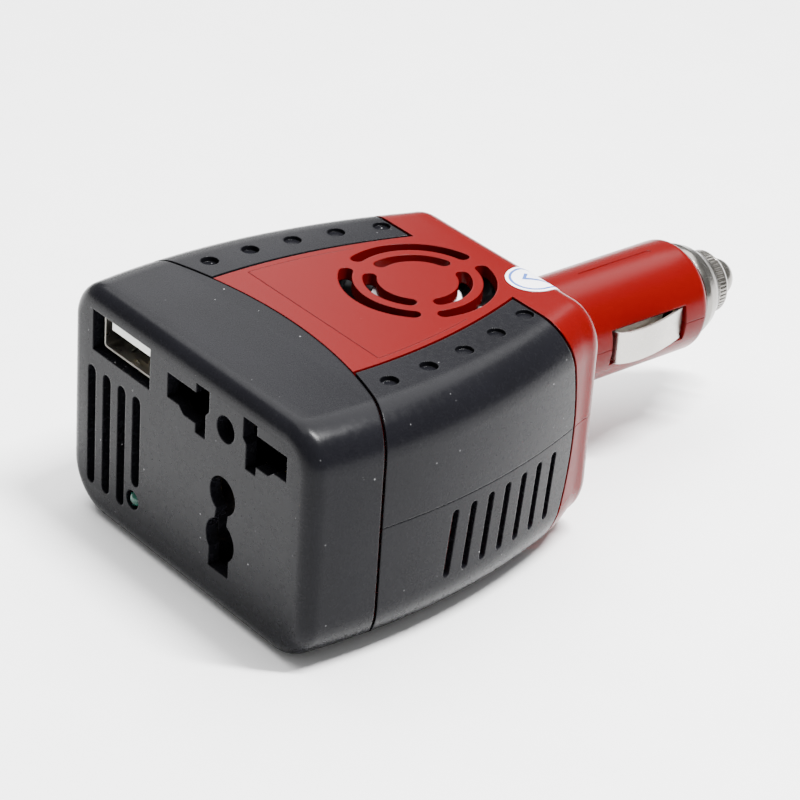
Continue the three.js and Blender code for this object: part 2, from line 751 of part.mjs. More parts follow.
// A round sticker that folds over the upper rear edge.
const STICKER = { x: 9.8, y: 62.2, r: 4.6, t: 0.12 };
function sticker() {
  const reach = rodZ(STICKER.x, STICKER.y, STICKER.r, HEIGHT - 6.0, HEIGHT + 1, 28);
  const skin = cut(caseForm(-0.02 - STICKER.t), caseForm(-0.02));
  return skin.intersect(reach);
}

// ---------- assembly ----------
const RED = { color: 0xb81414, roughness: 0.35, metalness: 0 };
const BLACK = { color: 0x26262a, roughness: 0.5, metalness: 0 };
const NICKEL = { color: 0xc9c6c0, roughness: 0.25, metalness: 1 };
const BRASS = { color: 0xb8963e, roughness: 0.3, metalness: 1 };
const ALUMINIUM = { color: 0xa9abae, roughness: 0.45, metalness: 1 };
const WHITE = { color: 0xe8e8e4, roughness: 0.6, metalness: 0 };
const BOARD = { color: 0x1f5b34, roughness: 0.5, metalness: 0 };
const FERRITE = { color: 0x2b2b2d, roughness: 0.8, metalness: 0 };
const COPPER = { color: 0xa85a2a, roughness: 0.35, metalness: 1 };
const GREEN = { color: 0x1f5a45, roughness: 0.15, metalness: 0 };
const GLASS = { color: 0xd8e4e4, roughness: 0.05, metalness: 0 };

const inverter = new THREE.Group();

function add(name, made, finish) {
  const mesh = new THREE.Mesh(geometryOf(made), new THREE.MeshStandardMaterial(finish));
  mesh.name = name;
  inverter.add(mesh);
}

add("socket_cap", socketCap(), BLACK);
add("upper_shell", upperShell(), RED);
add("lower_shell", lowerShell(), RED);
for (const [label, side] of [["left", -1], ["right", 1]]) {
  add(`upper_grip_${label}`, gripPanel(side, above), BLACK);
  add(`lower_grip_${label}`, gripPanel(side, below), BLACK);
  add(`heat_sink_${label}`, heatSink(side), ALUMINIUM);
  add(`transistor_${label}_front`, transistor(side, 33.5), FERRITE);
  add(`transistor_${label}_rear`, transistor(side, 44.5), FERRITE);
  add(`side_contact_${label}`, sideContact(side), NICKEL);
}
add("socket_insert", socketInsert(), BLACK);
add("neutral_contact", jawContact(SOCKET_X - 9.6, fromTop(8.3), 9, 6), BRASS);
add("live_contact", jawContact(SOCKET_X + 9.6, fromTop(8.3), 9, 6), BRASS);
add("earth_contact", jawContact(SOCKET_X - 0.3, fromTop(26), 6.4, 14), BRASS);
add("usb_shell", usbShell(), NICKEL);
add("usb_tongue", usbTongue(), WHITE);
for (let i = 0; i < 4; i++) add(`usb_contact_${i + 1}`, usbContact(i), BRASS);
add("usb_board", usbBoard(), BOARD);
add("indicator_lamp", lamp(), GREEN);
add("main_board", mainBoard(), BOARD);
add("transformer_core", transformerCore(), FERRITE);
add("transformer_coil", transformerCoil(), COPPER);
add("capacitor_left", capacitor(-6.5), FERRITE);
add("capacitor_right", capacitor(6.5), FERRITE);
add("fan_frame", fanFrame(), BLACK);
add("fan_rotor", fanRotor(), BLACK);
add("rotor_label", rotorLabel(), WHITE);
add("nose_bush", noseBush(), BRASS);
add("retaining_cap", retainingCap(), NICKEL);
add("cap_washer", capWasher(), BLACK);
add("centre_pin", centrePin(), NICKEL);
add("fuse_cap_front", fuseCap(FUSE_Y1 - FUSE_CAP_L), NICKEL);
add("fuse_cap_rear", fuseCap(FUSE_Y0), NICKEL);
add("fuse_glass", fuseGlass(), GLASS);
add("fuse_sleeve", fuseSleeve(), WHITE);
add("spring_seat", springSeat(), BRASS);
add("pin_spring", pinSpring(), NICKEL);
for (const [name, path] of Object.entries(LEADS)) {
  add(name, wire(path, 0.75), name === "positive_lead" ? RED : BLACK);
}
SCREWS.forEach((place, i) => add(`case_screw_${i + 1}`, caseScrew(place), NICKEL));
add("inspection_sticker", sticker(), WHITE);

for (const mesh of inverter.children) mesh.geometry.translate(0, -TOTAL_L / 2, 0);

export default inverter;
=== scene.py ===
"""Looks of the car power inverter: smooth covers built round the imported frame, materials and studio."""

import json
import math

import bmesh
import bpy
from mathutils import Matrix, Vector


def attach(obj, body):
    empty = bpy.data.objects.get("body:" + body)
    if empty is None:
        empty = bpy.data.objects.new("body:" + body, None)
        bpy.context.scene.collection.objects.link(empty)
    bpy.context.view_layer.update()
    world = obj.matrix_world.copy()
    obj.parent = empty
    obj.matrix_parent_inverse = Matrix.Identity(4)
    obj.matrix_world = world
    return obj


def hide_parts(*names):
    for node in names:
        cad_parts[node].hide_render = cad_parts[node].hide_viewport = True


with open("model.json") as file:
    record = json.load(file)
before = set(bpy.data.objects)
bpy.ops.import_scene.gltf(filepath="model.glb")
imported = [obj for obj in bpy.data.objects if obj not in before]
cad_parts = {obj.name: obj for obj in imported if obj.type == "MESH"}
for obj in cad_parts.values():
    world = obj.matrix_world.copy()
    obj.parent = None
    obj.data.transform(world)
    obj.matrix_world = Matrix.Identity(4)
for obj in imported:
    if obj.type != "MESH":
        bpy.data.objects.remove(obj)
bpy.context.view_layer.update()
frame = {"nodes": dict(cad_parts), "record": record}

# ---------- driving dimensions, in millimetres, y from the socket face ----------
MM = 0.001
TOTAL_L = 118.7
BODY_L = 65.7
HEIGHT = 42.2
HALF_W = 33.4
WIDEST_Y = 18.1
PLAN_R = 114.5
TOP_R = 7.3
BOTTOM_R = 9.0
FRONT_R = 3.1
REAR_R = 3.8
TAIL_Y = 55.8
TAIL_RISE = 0.0417
WALL = 2.2
SPLIT_Z = 23.2
CAP_Y = 20.0
CAP_R = 82.0
GRIP_T = 1.2
GRIP_X = 18.9
GRIP_EDGE_R = 98.0
GRIP_EDGE_Y = 22.0
GRIP_END_Y = 58.6
GRIP_END_R = 48.0
GROOVE = 0.55
BARREL_R = 10.0
BORE_R = 7.2
BARREL_END = 105.3
SOCKET_X = 10.5
FAN_Y = 45.85
NOSE_Y = 105.6
CLIP_Y0 = 82.4
CLIP_Y1 = 98.9
CLIP_W = 6.0
FRONT_Y0 = -1.0
FRONT_Y1 = 3.4
LAMP_X = -13.85
LAMP_Z = HEIGHT - 33.6
LAMP_R = 1.5
SIDE_VENT_LEAN = 0.11
SIDE_VENT_TOP = HEIGHT - 20.9
SIDE_VENT_FOOT = HEIGHT - 32.9
SCREWS = ((-15, 25), (15, 25), (-18.8, 58.2), (18.8, 58.2))
DIMPLE_YS = (21.2, 29.2, 37.2, 45.1, 53.0)
ENGRAVE = 0.09
STICKER = (9.8, 62.2)


# ---------- meshes ----------
def obj_from(name, verts, faces):
    """A mesh object from points in millimetres."""
    mesh = bpy.data.meshes.new(name)
    shifted = [(x * MM, (y - TOTAL_L / 2) * MM, z * MM) for x, y, z in verts]
    mesh.from_pydata(shifted, [], faces)
    bm = bmesh.new()
    bm.from_mesh(mesh)
    bmesh.ops.recalc_face_normals(bm, faces=bm.faces)
    bm.to_mesh(mesh)
    bm.free()
    made = bpy.data.objects.new(name, mesh)
    bpy.context.scene.collection.objects.link(made)
    return made


def loft(name, rings):
    """A closed skin through rings of equal length."""
    n = len(rings[0])
    verts = [p for ring in rings for p in ring]
    faces = [list(range(n)), list(range((len(rings) - 1) * n, len(rings) * n))]
    for s in range(len(rings) - 1):
        for i in range(n):
            a, b = s * n + i, s * n + (i + 1) % n
            faces.append([a, b, b + n, a + n])
    return obj_from(name, verts, faces)


def prism(name, points, low, high, axis="z"):
    """A flat outline pushed from low to high along an axis."""
    place = {
        "x": lambda u, v, w: (w, u, v),
        "y": lambda u, v, w: (u, w, v),
        "z": lambda u, v, w: (u, v, w),
    }[axis]
    return loft(name, [[place(u, v, w) for u, v in points] for w in (low, high)])


def lathe(name, profile, sides=96, x=0.0, z=SPLIT_Z):
    """A turned piece about a line along y: (radius, y) pairs, closed round or from axis to axis."""
    open_ends = profile[0][0] < 1e-6
    body = profile[1:-1] if open_ends else profile
    verts = []
    for r, y in body:
        for i in range(sides):
            a = 2 * math.pi * i / sides
            verts.append((x + r * math.cos(a), y, z + r * math.sin(a)))
    faces = []
    count = len(body)
    for s in range(count if not open_ends else count - 1):
        t = (s + 1) % count
        for i in range(sides):
            j = (i + 1) % sides
            faces.append([s * sides + i, s * sides + j, t * sides + j, t * sides + i])
    if open_ends:
        for (_, y), s in ((profile[0], 0), (profile[-1], count - 1)):
            verts.append((x, y, z))
            tip = len(verts) - 1
            for i in range(sides):
                faces.append([s * sides + i, s * sides + (i + 1) % sides, tip])
    return obj_from(name, verts, faces)


def box(name, x0, x1, y0, y1, z0, z1):
    return prism(name, [(x0, y0), (x1, y0), (x1, y1), (x0, y1)], z0, z1)


def arc(cx, cy, r, start, end, steps=8):
    """Points along an arc, angles in degrees."""
    out = []
    for i in range(steps + 1):
        a = math.radians(start + (end - start) * i / steps)
        out.append((cx + r * math.cos(a), cy + r * math.sin(a)))
    return out


def disc(cx, cy, r, sides=48):
    return arc(cx, cy, r, 0, 360 - 360 / sides, sides - 1)


def round_rect(cx, cy, w, h, r, steps=6):
    points = []
    for sx, sy, start in ((1, -1, -90), (1, 1, 0), (-1, 1, 90), (-1, -1, 180)):
        points += arc(cx + sx * (w / 2 - r), cy + sy * (h / 2 - r), r, start, start + 90, steps)
    return points


def boolean(target, tool, operation="DIFFERENCE"):
    """target changed by tool; tool is used up."""
    mod = target.modifiers.new("cut", "BOOLEAN")
    mod.operation = operation
    mod.solver = "MANIFOLD"
    mod.object = tool
    bpy.context.view_layer.update()
    depsgraph = bpy.context.evaluated_depsgraph_get()
    mesh = bpy.data.meshes.new_from_object(target.evaluated_get(depsgraph))
    target.modifiers.clear()
    old = target.data
    target.data = mesh
    bpy.data.meshes.remove(old)
    drop(tool)
    return target


def drop(made):
    mesh = made.data
    bpy.data.objects.remove(made)
    bpy.data.meshes.remove(mesh)


def copy_of(made):
    twin = made.copy()
    twin.data = made.data.copy()
    bpy.context.scene.collection.objects.link(twin)
    return twin


def cut(target, *tools):
    for tool in tools:
        boolean(target, tool)
    return target


def smooth(made, angle=32):
    """Smooth shading, kept sharp where the surface turns more than angle."""
    for face in made.data.polygons:
        face.use_smooth = True
    made.data.set_sharp_from_angle(angle=math.radians(angle))
    return made


# ---------- the case's outer form ----------
def half_width(y):
    return HALF_W - (y - WIDEST_Y) ** 2 / (2 * PLAN_R)


def underside(y):
    return TAIL_RISE * max(0.0, y - TAIL_Y) ** 2


def section(y, form_y, inset, steps):
    w = half_width(form_y) - inset
    top = HEIGHT - inset
    bottom = underside(form_y) + inset
    rt = max(TOP_R - inset, 0.5)
    rb = max(BOTTOM_R - inset, 0.5)
    corners = (
        (w - rt, top - rt, rt, 0),
        (-w + rt, top - rt, rt, 90),
        (-w + rb, bottom + rb, rb, 180),
        (w - rb, bottom + rb, rb, 270),
    )
    ring = []
    for cx, cz, r, start in corners:
        ring += [(x, y, z) for x, z in arc(cx, cz, r, start, start + 90, steps)]
    return ring


def case_form(inset, steps=14, stations=36, edge=8):
    """The whole case as a solid, taken in by inset everywhere."""
    y0, y1 = inset, BODY_L - inset
    rf = max(FRONT_R - inset, 0.4)
    rr = max(REAR_R - inset, 0.4)
    rings = []
    for i in range(edge, 0, -1):
        a = math.pi / 2 * i / edge
        back = rf * (1 - math.sin(a))
        rings.append(section(y0 + back, y0 + rf, inset + rf * (1 - math.cos(a)), steps))
    for i in range(stations + 1):
        y = y0 + rf + (y1 - rr - y0 - rf) * i / stations
        rings.append(section(y, y, inset, steps))
    for i in range(1, edge + 1):
        a = math.pi / 2 * i / edge
        ahead = rr * math.sin(a)
        rings.append(section(y1 - rr + ahead, y1 - rr, inset + rr * (1 - math.cos(a)), steps))
    return loft("form", rings)


def ahead_of_joint(clear):
    """The region in front of the cap's arched joint."""
    points = arc(0, CAP_Y - CAP_R, CAP_R + clear, 60, 120, 90) + [(-60, -20), (60, -20)]
    return prism("ahead", points, -5, HEIGHT + 5)


def grip_edge(y, clear):
    return GRIP_X - clear - (y - GRIP_EDGE_Y) ** 2 / (2 * GRIP_EDGE_R)


def grip_region(side, clear):
    """The region of one side's grip panels."""
    ys = [8 + 54 * i / 40 for i in range(41)]
    points = [(side * grip_edge(y, clear), y) for y in ys] + [(side * 45, 62), (side * 45, 8)]
    plan = prism("grip", points, -5, HEIGHT + 5)
    rear = prism("rear", disc(GRIP_END_Y - GRIP_END_R, SPLIT_Z, GRIP_END_R + clear, 240), -50, 50, "x")
    return boolean(plan, rear, "INTERSECT")


def half_space(upper, gap):
    if upper:
        return box("half", -60, 60, -10, TOTAL_L + 10, SPLIT_Z + gap, HEIGHT + 10)
    return box("half", -60, 60, -10, TOTAL_L + 10, -10, SPLIT_Z - gap)


def vent(u, v0, v1, w, steps=8):
    r = w / 2
    return arc(u, v1 - r, r, 0, 180, steps) + arc(u, v0 + r, r, 180, 360, steps)


def side_vents():
    """The seven leaning slots through both side walls."""
    slots = []
    for i in range(7):
        upright = vent(28.6 + i * 4.1, SIDE_VENT_FOOT, SIDE_VENT_TOP, 1.4)
        outline = [(u - SIDE_VENT_LEAN * (SIDE_VENT_TOP - v), v) for u, v in upright]
        slots.append(prism("vent", outline, -40, 40, "x"))
    return join(slots)


def join(objs):
    """Several objects made one; none of them touch."""
    bm = bmesh.new()
    for made in objs:
        bm.from_mesh(made.data)
    mesh = bpy.data.meshes.new("joined")
    bm.to_mesh(mesh)
    bm.free()
    for made in objs:
        drop(made)
    made = bpy.data.objects.new("joined", mesh)
    bpy.context.scene.collection.objects.link(made)
    return made


# Where the bridges of the fan grille stand, in degrees.
BRIDGES = (90, 210, 330)


def ring_slots(r0, r1, bridge=2.7):
    """A ring slot of the fan grille, broken by three bridges."""
    middle, end = (r0 + r1) / 2, (r1 - r0) / 2
    half_gap = math.degrees((bridge / 2 + end) / middle)
    slots = []
    for deg in BRIDGES:
        a0, a1 = deg + half_gap, deg + 120 - half_gap
        c0 = (middle * math.cos(math.radians(a0)), middle * math.sin(math.radians(a0)))
        c1 = (middle * math.cos(math.radians(a1)), middle * math.sin(math.radians(a1)))
        points = arc(0, 0, r1, a0, a1, 30)
        points += arc(c1[0], c1[1], end, a1, a1 + 180, 10)[1:-1]
        points += arc(0, 0, r0, a1, a0, 30)
        points += arc(c0[0], c0[1], end, a0 + 180, a0 + 360, 10)[1:-1]
        moved = [(x, y + FAN_Y) for x, y in points]
        slots.append(prism("slot", moved, HEIGHT - WALL - 2, HEIGHT + 1))
    return join(slots)


def label_outline():
    """A fine engraved frame on the red panel, open towards the fan grille."""
    lines = []
    for side in (1, -1):
        ys = [24.2 + 19.8 * i / 24 for i in range(25)]
        inner = [(side * (grip_edge(y, 0) - 1.9), y) for y in ys]
        outer = [(side * (grip_edge(y, 0) - 1.78), y) for y in ys]
        lines.append(prism("line", inner + outer[::-1], HEIGHT - ENGRAVE, HEIGHT + 1))
    outline = [(-16.9, 24.08), (16.9, 24.08), (16.9, 24.2), (-16.9, 24.2)]
    front = prism("line", outline, HEIGHT - ENGRAVE, HEIGHT + 1)
    return boolean(join(lines), front, "UNION")


# ---------- red case ----------
def red_case():
    made = case_form(0)
    for side in (1, -1):
        region = grip_region(side, GROOVE)
        boolean(region, case_form(GRIP_T + 0.05))
        boolean(made, region)
    cut(made, case_form(WALL, 8, 20, 4))
    end = arc(BARREL_R - 2.0, BARREL_END - 2.0, 2.0, 0, 80, 8)
    start = [(0, BODY_L - 3), (BARREL_R, BODY_L - 3), (BARREL_R, 99)]
    barrel = lathe("barrel", start + end + [(0, end[-1][1])], 128)
    boolean(made, barrel, "UNION")
    half = CLIP_W / 2 + 0.3
    cut(
        made,
        prism("bore", disc(0, SPLIT_Z, BORE_R, 64), BODY_L - 8, BARREL_END + 5, "y"),
        box("window", -20, 20, CLIP_Y0 - 0.4, CLIP_Y1 + 0.4, SPLIT_Z - half, SPLIT_Z + half),
        prism("groove", vent(0, 82, 98.6, 0.7), SPLIT_Z + BARREL_R - 0.16, HEIGHT),
        prism("groove", vent(0, 82, 98.6, 0.7), -5, SPLIT_Z - BARREL_R + 0.16),
        ahead_of_joint(0.15),
        side_vents(),
    )
    return made


def shells():
    whole = red_case()
    lower = copy_of(whole)
    upper = boolean(whole, half_space(True, 0.04), "INTERSECT")
    cut(upper, ring_slots(10.7, 13.0), ring_slots(6.7, 9.0), label_outline())
    boolean(lower, half_space(False, 0.04), "INTERSECT")
    for x, y in SCREWS:
        boolean(lower, prism("pillar", disc(x, y, 3.2), 1.4, 9.4), "UNION")
        boolean(lower, prism("head", disc(x, y, 2.9), -1, 4))
    return upper, lower


# ---------- black grips ----------
def grips():
    made = {}
    for label, side in (("left", -1), ("right", 1)):
        skin = cut(case_form(0), case_form(GRIP_T))
        boolean(skin, grip_region(side, 0), "INTERSECT")
        boolean(skin, ahead_of_joint(0.4))
        lower = copy_of(skin)
        upper = boolean(skin, half_space(True, 0.05), "INTERSECT")
        for y in DIMPLE_YS:
            x = side * (23.5 - (y - GRIP_EDGE_Y) ** 2 / 188)
            depth = 0.9 if abs(x) > 22.9 else 0.65
            boolean(upper, prism("dimple", disc(x, y, 1.5, 40), HEIGHT - depth, HEIGHT + 1))
        boolean(lower, half_space(False, 0.05), "INTERSECT")
        boolean(lower, side_vents())
        made[f"upper_grip_{label}"] = upper
        made[f"lower_grip_{label}"] = lower
    return made


# ---------- socket cap ----------
# One pin opening: (sideways from the outlet's middle, down from the top of the case).
PIN_OPENING = (
    (-15.5, 5.6),
    (-7.9, 5.6),
    (-7.9, 3.9),
    (-4.4, 3.9),
    (-4.4, 7.5),
    (-5.25, 8.4),
    (-5.25, 12.7),
    (-7.9, 12.7),
    (-7.9, 11.1),
    (-11.0, 11.1),
    (-12.4, 9.95),
    (-15.5, 9.95),
)
# The four front slots: (x, how far the foot lies below the top of the case).
FRONT_VENTS = ((-25.85, 36.3), (-21.6, 36.3), (-17.4, 36.3), (-13.25, 30.8))


def earth_outline():
    """Two overlapping circles over a blade slot."""
    x1, z1, r1 = SOCKET_X - 0.2, HEIGHT - 20.4, 3.3
    x2, z2, r2 = SOCKET_X - 0.5, HEIGHT - 28.7, 3.7
    points = arc(x1, z1, r1, -62, 242, 30)
    points += arc(x2, z2, r2, 115, 222, 16)
    points += [(SOCKET_X - 3.35, HEIGHT - 34.7), (SOCKET_X + 1.9, HEIGHT - 34.7)]
    points += arc(x2, z2, r2, -50, 65, 16)
    return points


def socket_cap():
    made = boolean(case_form(0), ahead_of_joint(-0.1), "INTERSECT")
    cut(made, case_form(WALL, 8, 20, 4))
    for side in (1, -1):
        outline = [(SOCKET_X + side * u, HEIGHT - z) for u, z in PIN_OPENING]
        cut(made, prism("pins", outline, FRONT_Y0, FRONT_Y1, "y"))
    for x, low in FRONT_VENTS:
        slot = vent(x, HEIGHT - low, HEIGHT - 14.1, 2.2)
        cut(made, prism("vent", slot, FRONT_Y0, FRONT_Y1, "y"))
    cut(
        made,
        box("usb", -25.75, -9.8, FRONT_Y0, FRONT_Y1, HEIGHT - 11.1, HEIGHT - 3.8),
        prism("lamp", disc(LAMP_X, LAMP_Z, 1.7), FRONT_Y0, FRONT_Y1, "y"),
        prism("centre", disc(SOCKET_X, HEIGHT - 8.4, 2.3), FRONT_Y0, FRONT_Y1, "y"),
        prism("earth", earth_outline(), FRONT_Y0, FRONT_Y1, "y"),
    )
    return made


# ---------- usb port, lamp ----------
def usb_shell():
    """A folded sleeve with two springs in its floor."""
    cx, cz, w, h = -17.3, HEIGHT - 7.1, 13.8, 6.2
    made = prism("usb_shell", round_rect(cx, cz, w, h, 0.7), 1.2, 15, "y")
    boolean(made, prism("hollow", round_rect(cx, cz, w - 0.7, h - 0.7, 0.4), 0, 14.4, "y"))
    for x in (cx - 3.4, cx + 3.4):
        boolean(made, box("window", x - 1.3, x + 1.3, 3.4, 9.5, cz - 4, cz - 2))
        floor_z = cz - h / 2
        leaf = [(3.0, floor_z), (9.6, floor_z), (9.6, floor_z + 0.3)]
        leaf += [(6, cz - 2.0), (4.4, cz - 2.2), (3.0, floor_z + 0.3)]
        boolean(made, prism("leaf", leaf, x - 1.0, x + 1.0, "x"), "UNION")
    return made


def lamp():
    """A lens with a round front."""
    profile = [(0, -0.1)]
    for degrees in range(80, -1, -8):
        a = math.radians(degrees)
        profile.append((math.cos(a) * LAMP_R, 1.4 - LAMP_R * math.sin(a)))
    return lathe("lamp", profile + [(LAMP_R, 5.4), (0, 5.4)], 40, LAMP_X, LAMP_Z)


# ---------- plug ----------
# The side contact's outer line: (distance from the axis, y).
CLIP_BOW = (
    (8.0, 82.7),
    (10.0, 82.8),
    (10.9, 84.3),
    (11.3, 87.0),
    (11.1, 91.0),
    (10.3, 95.0),
    (9.2, 98.9),
)


def catmull_rom(t, a, b, c, d):
    bend = (2 * a - 5 * b + 4 * c - d) * t * t
    twist = (3 * b - a - 3 * c + d) * t**3
    return 0.5 * (2 * b + (c - a) * t + bend + twist)


def curve_through(points, steps=6):
    """Catmull-Rom points through the given ones."""
    out = []
    last = len(points) - 1
    for i in range(last):
        p0, p1, p2, p3 = (points[max(0, min(last, i + k))] for k in (-1, 0, 1, 2))
        for s in range(steps):
            t = s / steps
            out.append(tuple(catmull_rom(t, *values) for values in zip(p0, p1, p2, p3)))
    return out + [points[-1]]


def side_contact(side):
    outside = curve_through(CLIP_BOW)
    inside = []
    for i, (x, y) in enumerate(outside):
        a, b = outside[max(i - 1, 0)], outside[min(i + 1, len(outside) - 1)]
        dx, dy = b[0] - a[0], b[1] - a[1]
        size = math.hypot(dx, dy)
        inside.append((x - dy / size * 0.45, y + dx / size * 0.45))
    outline = [(side * x, y) for x, y in outside + inside[::-1]]
    return prism("contact", outline, SPLIT_Z - CLIP_W / 2, SPLIT_Z + CLIP_W / 2)


def retaining_cap():
    """A nickel collar stepping down to a knurled neck."""
    profile = [
        (4.9, 100.5),
        (6.0, 100.5),
        (6.0, NOSE_Y),
        (8.2, NOSE_Y),
        (8.45, NOSE_Y + 0.2),
        (8.6, NOSE_Y + 1.1),
        (8.45, NOSE_Y + 1.5),
        (7.8, NOSE_Y + 3.1),
        (7.1, NOSE_Y + 3.5),
        (6.2, NOSE_Y + 5.4),
        (5.8, NOSE_Y + 5.7),
        (5.7, NOSE_Y + 7.7),
        (5.2, NOSE_Y + 8.3),
        (4.1, NOSE_Y + 8.4),
        (3.9, NOSE_Y + 8.2),
        (3.9, NOSE_Y + 2.3),
        (4.9, NOSE_Y + 2.3),
    ]
    made = lathe("nose", profile, 144)
    teeth = 48
    notches = []
    for i in range(teeth):
        a = 2 * math.pi * i / teeth
        cx, cz = 5.88 * math.cos(a), SPLIT_Z + 5.88 * math.sin(a)
        notches.append(prism("notch", disc(cx, cz, 0.3, 4), NOSE_Y + 5.95, NOSE_Y + 7.5, "y"))
    boolean(made, join(notches))
    return made


def centre_pin():
    """A shouldered pin with a round tip."""
    end = []
    for degrees in range(0, 86, 5):
        a = math.radians(degrees)
        end.append((3.6 * math.cos(a), TOTAL_L - 3.3 + 3.3 * math.sin(a)))
    profile = [(0, NOSE_Y + 0.4), (4.6, NOSE_Y + 0.4), (4.6, NOSE_Y + 1.9), (3.6, NOSE_Y + 1.9)]
    return lathe("pin", profile + end + [(0, TOTAL_L)], 64)


# ---------- sticker ----------
def sticker_part(points, low, high):
    """A printed shape lying on the case between two offsets from it."""
    skin = cut(case_form(-high), case_form(-low))
    return boolean(skin, prism("reach", points, HEIGHT - 6, HEIGHT + 1), "INTERSECT")


# ---------- materials ----------
def node_material(name):
    material = bpy.data.materials.new(name)
    material.use_nodes = True
    return material, material.node_tree.nodes, material.node_tree.links


def noise(nodes, links, coords, scale, detail=3.0, rough=0.55):
    node = nodes.new("ShaderNodeTexNoise")
    node.inputs["Scale"].default_value = scale
    node.inputs["Detail"].default_value = detail
    node.inputs["Roughness"].default_value = rough
    links.new(coords, node.inputs["Vector"])
    return node.outputs["Fac"]


def ramp(nodes, links, value, low, high, a=0.0, b=1.0):
    node = nodes.new("ShaderNodeMapRange")
    node.inputs["From Min"].default_value = low
    node.inputs["From Max"].default_value = high
    node.inputs["To Min"].default_value = a
    node.inputs["To Max"].default_value = b
    links.new(value, node.inputs["Value"])
    return node.outputs["Result"]


def mix_colour(nodes, links, factor, a, b):
    node = nodes.new("ShaderNodeMix")
    node.data_type = "RGBA"
    for socket, value in (("A", a), ("B", b)):
        target = [s for s in node.inputs if s.name == socket and s.type == "RGBA"][0]
        if isinstance(value, tuple):
            target.default_value = (*value, 1)
        else:
            links.new(value, target)
    links.new(factor, node.inputs[0])
    return [s for s in node.outputs if s.type == "RGBA"][0]


def surface(
    name,
    colour,
    roughness,
    metallic=0.0,
    grain=0.0,
    grain_scale=2500.0,
    edge=0.0,
    dust=0.0,
    vary=0.12,
    specular=0.5,
    brushed=False,
    transmission=0.0,
    uneven=0.18,
):
    """A worn, grained surface: colour drifts, roughness breaks up, edges catch light."""
    material, nodes, links = node_material(name)
    shader = nodes["Principled BSDF"]
    coords = nodes.new("ShaderNodeTexCoord").outputs["Object"]
    broad = noise(nodes, links, coords, 60.0)
    fine = noise(nodes, links, coords, 900.0, 4.0)
    darker = tuple(c * (1 - vary) for c in colour)
    lighter = tuple(min(1.0, c * (1 + vary)) for c in colour)
    base = mix_colour(nodes, links, ramp(nodes, links, broad, 0.35, 0.65), darker, lighter)
    if dust:
        cells = nodes.new("ShaderNodeTexVoronoi")
        cells.inputs["Scale"].default_value = 420.0
        links.new(coords, cells.inputs["Vector"])
        spots = ramp(nodes, links, cells.outputs["Distance"], 0.075, 0.03)
        patch = ramp(nodes, links, noise(nodes, links, coords, 150.0, 2.0), 0.50, 0.62)
        both = nodes.new("ShaderNodeMath")
        both.operation = "MULTIPLY"
        links.new(spots, both.inputs[0])
        links.new(patch, both.inputs[1])
        speck = ramp(nodes, links, both.outputs[0], 0.0, 1.0, 0.0, dust)
        base = mix_colour(nodes, links, speck, base, (0.55, 0.55, 0.56))
    links.new(base, shader.inputs["Base Color"])
    spread = ramp(nodes, links, fine, 0.3, 0.7, roughness * (1 - uneven), roughness * (1 + uneven))
    links.new(spread, shader.inputs["Roughness"])
    shader.inputs["Metallic"].default_value = metallic
    shader.inputs["Specular IOR Level"].default_value = specular
    shader.inputs["Transmission Weight"].default_value = transmission
    normal = None
    if edge:
        bevel = nodes.new("ShaderNodeBevel")
        bevel.samples = 6
        bevel.inputs["Radius"].default_value = edge * MM
        normal = bevel.outputs["Normal"]
    if grain:
        if brushed:
            stretch = nodes.new("ShaderNodeMapping")
            stretch.inputs["Scale"].default_value = (1.0, 0.04, 1.0)
            links.new(coords, stretch.inputs["Vector"])
            height = noise(nodes, links, stretch.outputs["Vector"], grain_scale, 2.0)
        else:
            height = noise(nodes, links, coords, grain_scale, 2.0)
        bump = nodes.new("ShaderNodeBump")
        bump.inputs["Strength"].default_value = grain
        bump.inputs["Distance"].default_value = 0.05 * MM
        links.new(height, bump.inputs["Height"])
        if normal:
            links.new(normal, bump.inputs["Normal"])
        normal = bump.outputs["Normal"]
    if normal:
        links.new(normal, shader.inputs["Normal"])
    return material


